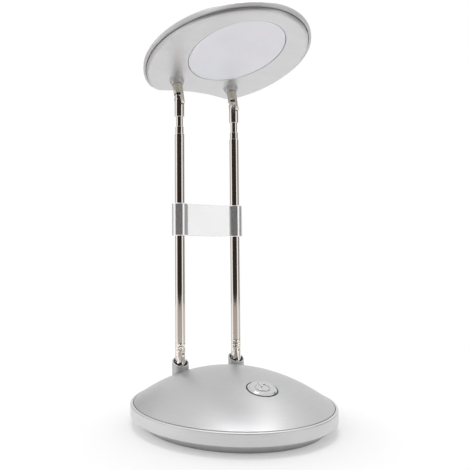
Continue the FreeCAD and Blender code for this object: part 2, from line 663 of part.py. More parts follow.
def base_screws():
    screws = []
    for i, (x, y) in enumerate(four_corners("dims.post_x", "dims.post_y")):
        under_head = move(x, y, "dims.screw_head_low")
        head = cylinder(f"screw_head_{i}", "dims.screw_head", "dims.screw_head_tall", under_head)
        long = "dims.screw_head_tall + dims.screw_length"
        shank = cylinder(f"screw_shank_{i}", "dims.screw_radius", long, under_head)
        recess = move(x, y, f"dims.screw_head_low - {PAST}")
        deep = f"dims.cross_deep + {PAST}"
        slot = slab(f"screw_slot_{i}", "dims.cross_long", "dims.cross_wide", deep, recess)
        cross = slab(f"screw_cross_{i}", "dims.cross_wide", "dims.cross_long", deep, recess)
        screws.append(cut(f"screw_{i}", fuse(f"screw_blank_{i}", head, shank), slot, cross))
    keep(group("base_screw_group", *screws), "base_screws")


# Button, switch and circuit board, all on the button's axis
def power_button():
    points = [
        ("0", "-dims.stem_low"),
        ("dims.stem_radius", "-dims.stem_low"),
        ("dims.stem_radius", "-dims.flange_low"),
        ("dims.button_flange", "-dims.flange_low"),
        ("dims.button_flange", FLANGE_TOP),
        ("dims.button_radius", FLANGE_TOP),
        ("dims.button_radius", "dims.button_proud - 0.8 * dims.cap_bevel"),
        ("dims.button_radius - 0.75 * dims.cap_bevel", "dims.button_proud - 0.15 * dims.cap_bevel"),
        ("dims.button_radius - dims.cap_bevel", "dims.button_proud"),
        ("0", "dims.button_proud - dims.cap_dish"),
    ]
    keep(turned("cap", points), "power_button", AT_BUTTON)


def push_switch():
    tip = move(z="-dims.stem_low - dims.plunger_long")
    keep(cylinder("plunger", "dims.plunger_radius", "dims.plunger_long"), "switch_plunger", AT_BUTTON, tip)
    floor = (AT_BUTTON, move(z="-dims.board_depth"))
    housing = slab("switch_housing", "dims.switch_side", "dims.switch_side", "dims.switch_tall", *floor)
    bore_size = ("dims.plunger_radius + dims.plunger_fit", "dims.switch_tall")
    bore = cylinder("switch_bore", *bore_size, *floor, move(z="dims.switch_floor"))
    keep(cut("switch_body", housing, bore), "push_switch")


def circuit_board():
    plate = slab("board_plate", "dims.board_long", "dims.board_wide", "dims.board_thick", AT_BUTTON,
                 move(z=BOARD_LOW))
    holes = []
    screws = []
    shank_long = "dims.small_head_tall + dims.board_drill"
    head_low = f"{BOARD_LOW} - dims.small_head_tall"
    for i, sign in enumerate(("-", "")):
        under_head = (AT_BUTTON, move(x=f"{sign}dims.board_post_x", z=head_low))
        holes.append(cylinder(f"board_hole_{i}", "dims.small_screw", LONG, *under_head))
        head = cylinder(f"board_screw_head_{i}", "dims.small_head", "dims.small_head_tall", *under_head)
        shank = cylinder(f"board_screw_shank_{i}", "dims.small_screw", shank_long, *under_head)
        screws.append(fuse(f"board_screw_{i}", head, shank))
    keep(cut("board_drilled", plate, *holes), "circuit_board")
    keep(group("board_screw_group", *screws), "board_screws")


def board_parts():
    coil_at = move("-1.5 * dims.coil_radius", "dims.coil_radius / 2", BOARD_LOW)
    coil = cylinder("coil", "dims.coil_radius", "dims.coil_tall", AT_BUTTON, coil_at, UPSIDE_DOWN)
    chip_size = ("dims.chip_side", "dims.chip_side", "dims.chip_tall")
    chip_at = move("dims.chip_side / 4", "-dims.chip_side / 2", BOARD_LOW)
    chip = box("chip", *chip_size, AT_BUTTON, chip_at, UPSIDE_DOWN)
    capacitors = []
    capacitor_size = ("dims.capacitor_radius", "dims.capacitor_tall")
    for i, sign in enumerate(("-", "")):
        at = move("dims.board_long / 4", f"{sign}dims.capacitor_pitch / 2", BOARD_LOW)
        capacitors.append(cylinder(f"capacitor_{i}", *capacitor_size, AT_BUTTON, at, UPSIDE_DOWN))
    keep(group("board_part_group", coil, chip, *capacitors), "board_parts")


# Knuckles. Each is built about its hinge line with its bar along +Z, and then put in place.
# The ears on the rods fill the -X half and the ears on the studs the +X half, so that the two lap.
def knuckle(name, on_rod, bar_length, *tail_size, hollow=()):
    outer_face = move(x="-dims.ear_thick")
    disc = cylinder(f"{name}_disc", "dims.ear_radius", "2 * dims.ear_thick", outer_face, LYING)

    def rim(edge):
        return edge.Closed and edge.BoundBox.XLength < TOUCH

    soft_disc = round_edges(f"{name}_soft_disc", disc, size("ear_soft"), rim)
    solids = [soft_disc, cylinder(f"{name}_bar", "dims.rod_radius", bar_length)]
    if tail_size:
        tail_radius, tail_length = tail_size
        solids.append(cylinder(f"{name}_tail", tail_radius, f"{bar_length} + {tail_length}"))

    lap_x = "-dims.ear_gap" if on_rod else f"dims.ear_gap - {LONG}"
    lap = box(f"{name}_lap", LONG, LONG, LONG, move(lap_x, f"-{LONG} / 2", f"dims.ear_relief - {LONG}"))
    eye = "dims.pin_radius + dims.pin_fit" if on_rod else "dims.pin_radius"
    tools = [lap, cylinder(f"{name}_eye", eye, LONG, move(x=f"-{LONG} / 2"), LYING), *hollow]
    if on_rod:
        seat = move(x=f"dims.pin_head_tall + dims.pin_fit - dims.ear_thick - {LONG}")
        tools.append(cylinder(f"{name}_seat", "dims.pin_head + dims.pin_fit", LONG, seat, LYING))
    return cut(name, fuse(f"{name}_blank", *solids), *tools)


def hinge_pins(label, pin_place):
    points = [
        ("0", "-dims.pin_crown"),
        ("0.7 * dims.pin_head", "-0.75 * dims.pin_crown"),
        ("dims.pin_head", "dims.pin_crown / 2"),
        ("dims.pin_head", "dims.pin_head_tall"),
        ("dims.pin_radius", "dims.pin_head_tall"),
        ("dims.pin_radius", "2 * dims.ear_thick - dims.pin_short"),
        ("0", "2 * dims.ear_thick - dims.pin_short"),
    ]
    pins = []
    for side in SIDES:
        pins.append(turned(f"{label}_{side}", points, pin_place(side), move(x="-dims.ear_thick"), LYING))
    keep(group(f"{label}_group", *pins), label)


def stud_hardware(prefix, stud_place, pose, seat):
    nuts = []
    tags = []
    for side, inward in zip(SIDES, ("0", "180")):
        stud = (stud_place(side), pose)
        nut_at = move(z=f"{seat} + dims.tag_thick")
        blank = hexagon(f"{prefix}_nut_blank_{side}", "dims.nut_radius", "dims.nut_thick", *stud, nut_at)
        thread = cylinder(f"{prefix}_nut_thread_{side}", "dims.shank_radius", LONG, *stud)
        nuts.append(cut(f"{prefix}_nut_{side}", blank, thread))
        ring = cylinder(f"{prefix}_ring_{side}", "dims.tag_radius", "dims.tag_thick", *stud, move(z=seat))
        tail_size = ("dims.tag_long", "dims.tag_wide", "dims.tag_thick")
        tail_at = (turn("z", inward), move(y="-dims.tag_wide / 2", z=seat))
        tail = box(f"{prefix}_tail_{side}", *tail_size, *stud, *tail_at)
        eye = cylinder(f"{prefix}_tag_eye_{side}", "dims.shank_radius", LONG, *stud)
        tags.append(cut(f"{prefix}_tag_{side}", fuse(f"{prefix}_tag_blank_{side}", ring, tail), eye))
    keep(group(f"{prefix}_nut_group", *nuts), f"{prefix}_stud_nuts")
    keep(group(f"{prefix}_tag_group", *tags), f"{prefix}_terminals")


def base_studs():
    tail = f"dims.socket_floor - dims.boss_bottom + {NUT_STACK} + dims.shank_past"
    for side in SIDES:
        stud = knuckle(f"{side}_base_knuckle", False, STUD_DROP, "dims.shank_radius", tail)
        keep(stud, f"{side}_base_stud", at_lower(side), UPSIDE_DOWN)
    hinge_pins("lower_hinge_pins", at_lower)
    stud_hardware("base", at_lower, UPSIDE_DOWN, "dims.hinge_height - dims.boss_bottom")


# Arm: the two telescopes, side by side
def tube(label, side, low, high, radius, bore, mouth):
    points = [
        (bore, low),
        (radius, low),
        (radius, f"{high} - dims.tube_bevel"),
        (f"{radius} - dims.tube_bevel", high),
        (mouth, high),
        (mouth, f"{high} - dims.crimp"),
        (bore, f"{high} - dims.crimp - dims.crimp_lead"),
    ]
    keep(turned(f"{label}_body", points), label, at_lower(side))


def bush(label, side, low, plug_radius, outside):
    skin = f"{outside} - dims.slide_fit"
    end = f"{low} - dims.bush_length"
    points = [
        ("dims.bush_bore", end),
        (f"{skin} - dims.bush_bevel", end),
        (skin, f"{end} + dims.bush_bevel"),
        (skin, low),
        (plug_radius, low),
        (plug_radius, f"{low} + dims.bush_plug"),
        ("dims.bush_bore", f"{low} + dims.bush_plug"),
    ]
    keep(turned(f"{label}_body", points), label, at_lower(side))


def inner_rod(side):
    points = [
        ("0", "dims.inner_start + dims.bush_plug"),
        ("dims.bush_neck", "dims.inner_start + dims.bush_plug"),
        ("dims.bush_neck", "dims.inner_start"),
        ("dims.inner_radius", "dims.inner_start"),
        ("dims.inner_radius", "dims.inner_end"),
        ("dims.tip_plug_radius", "dims.inner_end"),
        ("dims.tip_plug_radius", "dims.inner_end + dims.tip_plug"),
        ("0", "dims.inner_end + dims.tip_plug"),
    ]
    keep(turned(f"{side}_inner_profile", points), f"{side}_inner_rod", at_lower(side))


def rod_ends(side):
    foot = knuckle(f"{side}_foot_knuckle", True, "dims.outer_start", "dims.outer_bore", "dims.foot_plug")
    keep(foot, f"{side}_tube_foot", at_lower(side))
    tip_length = "(dims.upper_hinge - dims.inner_end)"
    plug_at = move(z=f"{tip_length} - dims.tip_plug")
    socket = cylinder(f"{side}_tip_socket", "dims.tip_plug_radius", LONG, plug_at)
    tip = knuckle(f"{side}_tip_knuckle", True, tip_length, hollow=[socket])
    keep(tip, f"{side}_rod_tip", at_upper(side), UPSIDE_DOWN)


def rods():
    outer = ("dims.outer_start", "dims.outer_end", "dims.rod_radius", "dims.outer_bore", "dims.outer_mouth")
    middle = ("dims.middle_start", "dims.middle_end", "dims.middle_radius", "dims.middle_bore",
              "dims.middle_mouth")
    for side in SIDES:
        rod_ends(side)
        tube(f"{side}_outer_tube", side, *outer)
        tube(f"{side}_middle_tube", side, *middle)
        bush(f"{side}_middle_bush", side, "dims.middle_start", "dims.middle_bore", "dims.outer_bore")
        inner_rod(side)
        bush(f"{side}_inner_bush", side, "dims.inner_start", "dims.bush_neck", "dims.middle_bore")


def rod_clip():
    sleeves = []
    bores = []
    bore = "dims.rod_radius + dims.clip_fit"
    for side, x in SIDES.items():
        sleeves.append(cylinder(f"{side}_sleeve", "dims.clip_radius", "dims.clip_tall", move(x)))
        bores.append(cylinder(f"{side}_sleeve_bore", bore, LONG, move(x, z=f"-{PAST}")))
    plate = slab("clip_web", "dims.rod_spacing", "dims.clip_plate", "dims.clip_tall")
    at_ends = (flat_at(0), flat_at(size("clip_tall")))

    def at_end(edge):
        return any(level(edge) for level in at_ends)

    rounded = round_edges("clip_rounded", fuse("clip_blank", plate, *sleeves), size("clip_soft"), at_end)
    here = move(y="dims.hinge_back", z="dims.hinge_height + dims.clip_low")
    keep(cut("clip_bored", rounded, *bores), "rod_clip", here)


# Head, built about the upper hinge line and then tilted
def sheet_value(text):
    probe = doc.addObject("App::FeaturePython", "probe")
    probe.addProperty("App::PropertyFloat", "Value")
    probe.setExpression("Value", text)
    doc.recompute()
    number = probe.Value
    doc.removeObject(probe.Name)
    return number


def head_outline(name, inset, bottom, height):
    half_width = f"dims.head_half_width - ({inset})"
    half_length = f"dims.head_half_length - ({inset})"
    oval = oval_layers(f"{name}_oval", (half_width, half_length, "dims.head_forward", bottom, height))
    notch_at = move(y="dims.notch_back + dims.notch_radius", z=f"{bottom} - {PAST}")
    notch = cylinder(f"{name}_notch", f"dims.notch_radius + ({inset})", f"{height} + 2 * {PAST}", notch_at)

    def corner(edge):
        bounds = edge.BoundBox
        upright = bounds.ZLength > TOUCH and bounds.XLength + bounds.YLength < TOUCH
        return upright and bounds.YMin > 0

    trimmed = cut(f"{name}_trimmed", oval, notch)
    return round_edges(name, trimmed, size("lobe_round") - sheet_value(inset), corner)


def lens_oval(more):
    return f"dims.lens_half_width + ({more})", f"dims.lens_half_length + ({more})", "dims.lens_forward"


def stud_bosses():
    bosses = []
    holes = []
    for side, x in SIDES.items():
        along = (move(x), STUD_LEAN)
        cone_size = ("dims.collar_radius", "dims.collar_root", "dims.collar_end - dims.collar_start")
        bosses.append(cone(f"{side}_collar", *cone_size, *along, move(z="dims.collar_start")))
        boss_at = move(z="dims.nut_seat - dims.nut_boss_tall")
        bosses.append(cylinder(f"{side}_nut_boss", "dims.nut_boss", "dims.nut_boss_tall", *along, boss_at))
        bore_at = move(z=f"dims.stud_seat - {LONG}")
        holes.append(cylinder(f"{side}_collar_bore", "dims.collar_bore", LONG, *along, bore_at))
        holes.append(cylinder(f"{side}_shank_hole", "dims.shank_radius", LONG, *along))
    return bosses, holes


def led_posts():
    posts = []
    holes = []
    for i, sign in enumerate(("-", "")):
        foot = move(f"{sign}dims.led_post_x", "-dims.lens_forward", PLATE_FACE)
        posts.append(cylinder(f"led_post_{i}", "dims.led_post", f"dims.led_board_low - {PLATE_FACE}", foot))
        inside = move(f"{sign}dims.led_post_x", "-dims.lens_forward", PLATE_INSIDE)
        holes.append(cylinder(f"led_post_hole_{i}", "dims.small_screw", LONG, inside))
    return posts, holes


def lens_opening():
    hole = oval_layers("lens_hole", (*lens_oval("dims.lens_gap"), f"{PLATE_FACE} - {PAST}", LONG))
    narrow = (*lens_oval("dims.lens_gap"), f"{PLATE_FACE} + dims.lens_bevel")
    wide = (*lens_oval(f"dims.lens_gap + dims.lens_bevel + {PAST}"), f"{PLATE_FACE} - {PAST}")
    return [hole, tapered_oval("lens_bevel", wide, narrow)]


def head_bottom_plate():
    outline = head_outline("plate_outline", "0", PLATE_FACE, f"{SKIRT_TOP} - {PLATE_FACE}")
    face = size("head_seam") - size("plate_drop")
    rounded = round_edges("plate_rounded", outline, size("plate_round"), flat_at(face))
    hollow = head_outline("plate_hollow", "dims.plate_wall", PLATE_INSIDE, LONG)
    bosses, boss_holes = stud_bosses()
    posts, post_holes = led_posts()
    shell = fuse("plate_with_bosses", cut("plate_shell", rounded, hollow), *bosses, *posts)
    holes = [*boss_holes, *post_holes, *lens_opening()]
    keep(cut("head_plate", shell, *holes), "head_bottom_plate", AT_HEAD)


def head_top_cover():
    half_length = "(dims.head_half_length + dims.head_rim_out)"
    half_width = "(dims.head_half_width + dims.head_rim_out)"
    radius = f"(({half_length} ^ 2 + dims.head_crown ^ 2) / (2 * dims.head_crown))"
    radii = (f"({radius} * {half_width} / {half_length})", radius, radius)
    centre = move(y="-dims.head_forward", z=f"{HEAD_RIM} + dims.head_side + dims.head_crown - {radius}")
    outline = head_outline("top_outline", "-dims.head_rim_out", HEAD_RIM, LONG)
    solid = common("top_solid", outline, ellipsoid("head_cap", *radii, centre))
    middle_of_side = size("head_seam") - size("head_rim_low") + size("head_side") / 2

    def upper(edge):
        level = all(point.z > middle_of_side for point in points_of(edge))
        return level and edge.BoundBox.XLength > size("head_side")

    rounded = round_edges("top_rounded", solid, size("head_round"), upper)
    inner_cap = ellipsoid("head_inner_cap", *[f"{part} - dims.wall" for part in radii], centre)
    inner_outline = head_outline("top_inner", "dims.wall - dims.head_rim_out", f"{HEAD_RIM} - {PAST}", LONG)
    hollow = common("top_hollow", inner_outline, inner_cap)
    step_tall = f"{SKIRT_TOP} - {HEAD_RIM} + {PAST}"
    step = head_outline("top_step", "-dims.seam_gap", f"{HEAD_RIM} - {PAST}", step_tall)
    keep(cut("head_cover", rounded, hollow, step), "head_top_cover", AT_HEAD)


# Head: diffuser, reflector and LED board
def diffuser_and_reflector():
    face_low = f"{PLATE_FACE} + dims.lens_recess"
    face = (*lens_oval("0"), face_low, f"{PLATE_INSIDE} - ({face_low})")
    flange = (*lens_oval("dims.lens_flange_out"), PLATE_INSIDE, "dims.lens_flange")
    keep(oval_layers("lens_body", face, flange), "diffuser", AT_HEAD)

    low = f"({PLATE_INSIDE} + dims.lens_flange)"
    tall = f"dims.led_board_low - {low}"
    ring = oval_layers("frame_ring", (*lens_oval("dims.lens_flange_out"), low, tall))
    mouth = (*lens_oval("-dims.mouth_in"), low)
    throat = (*lens_oval("-dims.throat_in"), "dims.led_board_low")
    keep(cut("frame_open", ring, tapered_oval("frame_mouth", mouth, throat)), "reflector_frame", AT_HEAD)


def led_board():
    oval = oval_layers("led_oval", (*lens_oval("0"), "dims.led_board_low", "dims.led_board_thick"))
    middle = move(y="-dims.lens_forward", z="dims.led_board_low")
    ear_to_ear = "2 * (dims.led_post_x + dims.led_post)"
    ears = slab("led_ears", ear_to_ear, "dims.led_ear_wide", "dims.led_board_thick", middle)
    holes = []
    screws = []
    for i, sign in enumerate(("-", "")):
        above = move(f"{sign}dims.led_post_x", "-dims.lens_forward", LED_BOARD_TOP)
        below = (above, UPSIDE_DOWN)
        holes.append(cylinder(f"led_hole_{i}", "dims.small_screw", LONG, *below))
        head = cylinder(f"led_screw_head_{i}", "dims.small_head", "dims.small_head_tall", above)
        shank = cylinder(f"led_screw_shank_{i}", "dims.small_screw", "dims.led_screw_long", *below)
        screws.append(fuse(f"led_screw_{i}", head, shank))
    keep(cut("led_board_drilled", fuse("led_blank", oval, ears), *holes), "led_board", AT_HEAD)
    keep(group("led_screw_group", *screws), "led_board_screws", AT_HEAD)


# Seven rows of four LEDs, with two in the first and last rows, where the oval is narrow
def leds():
    lamps = []
    for row in range(-3, 4):
        columns = (-0.5, 0.5) if abs(row) == 3 else (-1.5, -0.5, 0.5, 1.5)
        for column in columns:
            across = f"{column} * dims.led_pitch"
            along = f"{row} * dims.led_pitch - dims.lens_forward"
            at = move(across, along, "dims.led_board_low - dims.led_tall")
            lamps.append(slab(f"led_{len(lamps)}", "dims.led_wide", "dims.led_long", "dims.led_tall", at))
    keep(group("led_group", *lamps), "leds", AT_HEAD)


def head_studs():
    tail = f"dims.nut_seat - dims.stud_seat + {NUT_STACK} + dims.head_shank_past"
    for side in SIDES:
        stud = knuckle(f"{side}_head_knuckle", False, "dims.stud_seat", "dims.shank_radius", tail)
        keep(stud, f"{side}_head_stud", at_upper(side), HEAD_STUD_LEAN)
    hinge_pins("upper_hinge_pins", at_upper)
    stud_hardware("head", at_upper, HEAD_STUD_LEAN, "dims.nut_seat")


base_top_cover()
base_bottom_cover()
battery_door()
rubber_feet()
batteries()
base_screws()
power_button()
push_switch()
circuit_board()
board_parts()
base_studs()
rods()
rod_clip()
head_bottom_plate()
head_top_cover()
diffuser_and_reflector()
led_board()
leds()
head_studs()
doc.recompute()

for obj in doc.Objects:
    if {"Invalid", "Error"} & set(obj.State):
        raise RuntimeError(f"{obj.Name} did not compute")
for piece in pieces:
    if piece.Shape.isNull() or not piece.Shape.isValid():
        raise RuntimeError(f"{piece.Label} has no valid shape")

os.makedirs("parts", exist_ok=True)
for piece in pieces:
    piece.Shape.exportStep(f"parts/{piece.Label}.step")
    print(piece.Label, round(piece.Shape.Volume, 1), len(piece.Shape.Solids))
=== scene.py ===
import json
import math

import bpy
from mathutils import Matrix, Vector


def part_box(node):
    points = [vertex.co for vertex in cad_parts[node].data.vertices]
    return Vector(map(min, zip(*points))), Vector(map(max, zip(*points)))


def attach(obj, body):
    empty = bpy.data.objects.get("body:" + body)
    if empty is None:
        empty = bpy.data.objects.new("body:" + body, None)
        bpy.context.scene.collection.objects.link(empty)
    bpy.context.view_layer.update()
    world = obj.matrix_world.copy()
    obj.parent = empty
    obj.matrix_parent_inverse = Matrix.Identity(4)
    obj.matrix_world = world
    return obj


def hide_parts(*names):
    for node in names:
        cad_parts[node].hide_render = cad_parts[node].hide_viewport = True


# Portable desk lamp, dressed over its frame. Metres, +Z up, the lamp's front towards -Y.

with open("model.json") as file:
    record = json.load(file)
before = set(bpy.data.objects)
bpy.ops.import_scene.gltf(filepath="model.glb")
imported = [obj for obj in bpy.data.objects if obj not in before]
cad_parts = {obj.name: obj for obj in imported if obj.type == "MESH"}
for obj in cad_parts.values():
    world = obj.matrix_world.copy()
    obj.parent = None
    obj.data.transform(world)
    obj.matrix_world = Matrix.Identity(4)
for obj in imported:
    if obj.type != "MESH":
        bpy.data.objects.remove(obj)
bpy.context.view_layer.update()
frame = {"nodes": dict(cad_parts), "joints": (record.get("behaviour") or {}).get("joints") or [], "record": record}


def new_object(name, data):
    """An object in the scene, with that mesh, camera or light."""
    made = bpy.data.objects.new(name, data)
    bpy.context.scene.collection.objects.link(made)
    return made


def new_mesh(name, points, faces):
    mesh = bpy.data.meshes.new(name)
    mesh.from_pydata(points, [], faces)
    return mesh


def named_joint(name):
    return next(joint for joint in frame["joints"] if joint["name"] == name)


def direction(heading, pitch=0):
    """A unit vector at that heading from +Y towards +X, and that angle above the horizon."""
    level = math.cos(pitch)
    return Vector((math.sin(heading) * level, math.cos(heading) * level, math.sin(pitch)))


def rightwards(heading):
    """The level unit vector to the right of that heading."""
    return Vector((math.cos(heading), -math.sin(heading), 0))


# Camera, at the photograph's viewing angle. The sensor's width is in millimetres.
PHOTO_SIDE = 470
CENTRE_PIXEL = (232.7, 234.6)
FOCAL_PIXELS = 575.1
SENSOR_WIDTH = 36.0
CLIP_START = 0.01
CAMERA_PLACE = Vector((-0.1409, -0.2896, 0.0843))
CAMERA_HEADING = math.radians(26.24)
CAMERA_PITCH = math.radians(3.36)
CAMERA_ROLL = math.radians(-0.51)


def make_camera():
    forward = direction(CAMERA_HEADING, CAMERA_PITCH)
    level = rightwards(CAMERA_HEADING)
    upright = level.cross(forward)
    right = level * math.cos(CAMERA_ROLL) + upright * math.sin(CAMERA_ROLL)
    up = upright * math.cos(CAMERA_ROLL) - level * math.sin(CAMERA_ROLL)
    data = bpy.data.cameras.new("camera")
    data.sensor_width = SENSOR_WIDTH
    data.lens = FOCAL_PIXELS / PHOTO_SIDE * SENSOR_WIDTH
    data.shift_x = 0.5 - CENTRE_PIXEL[0] / PHOTO_SIDE
    data.shift_y = CENTRE_PIXEL[1] / PHOTO_SIDE - 0.5
    data.clip_start = CLIP_START
    camera = new_object("camera", data)
    turned = Matrix((right, up, -forward)).transposed().to_4x4()
    camera.matrix_world = Matrix.Translation(CAMERA_PLACE) @ turned
    bpy.context.scene.camera = camera


# Node trees. Most values of a noise lie between the two in NOISE_REACH.
NOISE_REACH = (0.3, 0.7)


class Nodes:
    """The node tree of a material or world, with short calls that add nodes to it."""

    def __init__(self, owner):
        owner.use_nodes = True
        self.tree = owner.node_tree

    def feed(self, socket, value):
        """Join another node's output to the socket, or give it a constant."""
        if isinstance(value, bpy.types.NodeSocket):
            self.tree.links.new(value, socket)
        else:
            socket.default_value = value

    def add(self, kind, inputs=(), **settings):
        """A node with those settings, and its inputs fed by name or number."""
        node = self.tree.nodes.new(kind)
        for name, value in settings.items():
            setattr(node, name, value)
        for name, value in dict(inputs).items():
            self.feed(node.inputs[name], value)
        return node

    def calculate(self, operation, *values):
        node = self.add("ShaderNodeMath", dict(enumerate(values)), operation=operation)
        return node.outputs["Value"]

    def scaled(self, operation, vector, by):
        """The vector multiplied or divided by another, part by part."""
        node = self.add("ShaderNodeVectorMath", {0: vector, 1: by}, operation=operation)
        return node.outputs["Vector"]

    def length(self, vector):
        node = self.add("ShaderNodeVectorMath", {0: vector}, operation="LENGTH")
        return node.outputs["Value"]

    def remap(self, value, source, target, curve="LINEAR"):
        """The value taken from one range to another, and held inside it."""
        inputs = {"Value": value, "From Min": source[0], "From Max": source[1],
                  "To Min": target[0], "To Max": target[1]}
        return self.add("ShaderNodeMapRange", inputs, interpolation_type=curve).outputs["Result"]

    def blend(self, share, first, second):
        """A shader that goes from the first at 0 to the second at 1."""
        return self.add("ShaderNodeMixShader", {0: share, 1: first, 2: second}).outputs[0]


class Finish(Nodes):
    """A material with its Principled shader. Its name says which tones it has."""

    def __init__(self, name):
        self.material = bpy.data.materials.new(name)
        super().__init__(self.material)
        self.tones = TONES[name]
        self.shader = self.tree.nodes["Principled BSDF"]
        self.place = self.add("ShaderNodeTexCoord").outputs["Object"]

    def set(self, **values):
        """Feeds the shader's own inputs, named with _ for a space."""
        for name, value in values.items():
            self.feed(self.shader.inputs[name.replace("_", " ")], value)

    def noise(self, scale, detail, stretch=None):
        """Noise with so many cells to the metre, times stretch along each axis."""
        place = self.scaled("MULTIPLY", self.place, stretch) if stretch else self.place
        inputs = {"Scale": scale, "Detail": detail, "Vector": place}
        return self.add("ShaderNodeTexNoise", inputs).outputs["Fac"]

    def span(self, noise, low=0, high=1):
        """Where most of the noise lies, spread out from low to high."""
        return self.remap(noise, NOISE_REACH, (low, high))

    def mean(self, first, second):
        return self.calculate("MULTIPLY", self.calculate("ADD", first, second), 0.5)

    def colour(self, share):
        """Base colour from the darker tone at 0 to the lighter one at 1."""
        node = self.add("ShaderNodeMix", {0: share}, data_type="RGBA")
        sockets = [socket for socket in node.inputs if socket.type == "RGBA"]
        for socket, tone in zip(sockets, self.tones):
            socket.default_value = (*tone, 1)
        self.set(Base_Color=next(socket for socket in node.outputs if socket.type == "RGBA"))

    def roughness(self, noise, low, high):
        self.set(Roughness=self.span(noise, low, high))

    def bump(self, pattern, height):
        node = self.add("ShaderNodeBump", {"Height": pattern, "Distance": height})
        self.set(Normal=node.outputs["Normal"])


# Tones, a darker and a lighter one for each finish
def shade(colour, factor):
    return tuple(part * factor for part in colour)


def around(colour, spread):
    """That share darker and that share lighter than the colour."""
    return shade(colour, 1 - spread), shade(colour, 1 + spread)


SHELL_GREY = (0.515, 0.515, 0.52)
SHELL_SPREAD = 0.035
# Painted light: the shell paint made this many times lighter on the bottom cover and the head's plate
SHELL_PAINTED_LIGHT = 1.22
NICKEL = ((0.84, 0.80, 0.76), (0.90, 0.86, 0.82))
TONES = {
    "silver_paint": around(SHELL_GREY, SHELL_SPREAD),
    # Lighter copy of the shell paint, painted light
    "painted_lit_silver_paint": around(shade(SHELL_GREY, SHELL_PAINTED_LIGHT), SHELL_SPREAD),
    "polished_silver": ((0.56, 0.56, 0.565), (0.60, 0.60, 0.605)),
    "clip_silver": around((0.92, 0.92, 0.93), 0.01),
    "nickel_plating": NICKEL,
    "crimped_plating": NICKEL,
    # Darker, browner copy of the rods' plating: painted shade on the head's studs
    "painted_shade_plating": ((0.60, 0.57, 0.49), (0.66, 0.63, 0.55)),
    "frosted_diffuser": ((0.69, 0.68, 0.72), (0.73, 0.72, 0.76)),
    "black_rubber": ((0.022, 0.022, 0.023), (0.055, 0.054, 0.052)),
    "cell_wrap": ((0.10, 0.11, 0.12), (0.17, 0.18, 0.19)),
    "nickel_spring": ((0.66, 0.64, 0.60), (0.78, 0.76, 0.72)),
    "zinc_steel": ((0.52, 0.53, 0.56), (0.68, 0.68, 0.70)),
    "brass": ((0.66, 0.50, 0.24), (0.80, 0.64, 0.34)),
    "dark_plastic": ((0.022, 0.022, 0.024), (0.05, 0.05, 0.052)),
    "solder_mask": ((0.012, 0.10, 0.035), (0.03, 0.18, 0.065)),
    "white_mask": ((0.78, 0.78, 0.76), (0.86, 0.86, 0.84)),
    "phosphor": ((0.78, 0.62, 0.12), (0.90, 0.78, 0.26)),
}


# Finishes
def silver_shell(name):
    """Painted moulding: fine flakes over faint level streaks."""
    finish = Finish(name)
    finish.set(Metallic=0.8)
    flakes = finish.noise(scale=5200, detail=1)
    streaks = finish.noise(scale=420, detail=3, stretch=(0.12, 0.12, 4))
    finish.colour(finish.span(finish.mean(flakes, streaks)))
    finish.roughness(finish.noise(scale=55, detail=3), low=0.38, high=0.45)
    finish.bump(flakes, height=1.2e-6)
    return finish.material


def flaked(name, metallic, flakes, patches, smooth, rough, height):
    """Smoother silver with fine flakes, and with patches that shine a little more or less."""
    finish = Finish(name)
    finish.set(Metallic=metallic)
    grain = finish.noise(scale=flakes, detail=1)
    finish.colour(finish.span(grain))
    finish.roughness(finish.noise(scale=patches, detail=3), smooth, rough)
    finish.bump(grain, height)
    return finish.material


def plating(name):
    """Bright plating with faint smears along the rods."""
    finish = Finish(name)
    finish.set(Metallic=1)
    smears = finish.noise(scale=160, detail=4, stretch=(1, 1, 0.2))
    finish.colour(finish.span(smears))
    finish.roughness(smears, low=0.05, high=0.12)
    return finish


def chrome(name):
    """Plating with very fine lines along the rods."""
    finish = plating(name)
    finish.bump(finish.noise(scale=2600, detail=2, stretch=(1, 1, 0.05)), height=1.5e-6)
    return finish.material


# Band of small dimples on each outer tube, above its low end
CRIMP_LOW = 0.0004
CRIMP_TALL = 0.0050
CRIMP_EDGE = 0.0003
CRIMP_CELLS = 1050
CRIMP_DEPTH = 0.00012


def crimped_chrome(name):
    """Plating with that band, where the tube is crimped onto its foot."""
    finish = plating(name)
    half = CRIMP_TALL / 2
    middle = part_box("left_outer_tube")[0].z + CRIMP_LOW + half
    height = finish.add("ShaderNodeSeparateXYZ", {"Vector": finish.place}).outputs["Z"]
    away = finish.calculate("ABSOLUTE", finish.calculate("SUBTRACT", height, middle))
    band = finish.remap(away, (half - CRIMP_EDGE, half), (1, 0))
    cells = finish.add("ShaderNodeTexVoronoi", {"Scale": CRIMP_CELLS, "Vector": finish.place})
    finish.bump(finish.calculate("MULTIPLY", cells.outputs["Distance"], band), CRIMP_DEPTH)
    return finish.material


def diffuser(name):
    """Milky plastic with a fine frosting."""
    finish = Finish(name)
    finish.set(Roughness=0.42, Subsurface_Weight=0.25, Subsurface_Scale=0.004)
    finish.colour(finish.span(finish.noise(scale=40, detail=3)))
    finish.bump(finish.noise(scale=4200, detail=2), height=5e-6)
    return finish.material


def rubber(name):
    finish = Finish(name)
    finish.colour(finish.noise(scale=700, detail=4))
    finish.roughness(finish.noise(scale=300, detail=3), low=0.62, high=0.85)
    finish.bump(finish.noise(scale=2400, detail=4), height=3e-5)
    return finish.material


def cell_wrap(name):
    """Coloured film round a cell, with a clear coat."""
    finish = Finish(name)
    finish.set(Metallic=0.35, Coat_Weight=0.6, Coat_Roughness=0.12)
    finish.colour(finish.noise(scale=220, detail=4, stretch=(0.2, 1, 1)))
    finish.roughness(finish.noise(scale=500, detail=3), low=0.25, high=0.40)
    finish.bump(finish.noise(scale=900, detail=3), height=6e-6)
    return finish.material


def metal(name, grain, smooth, rough):
    finish = Finish(name)
    finish.set(Metallic=1)
    tarnish = finish.noise(scale=grain, detail=4)
    finish.colour(finish.span(tarnish))
    finish.roughness(tarnish, smooth, rough)
    finish.bump(tarnish, height=4e-6)
    return finish.material


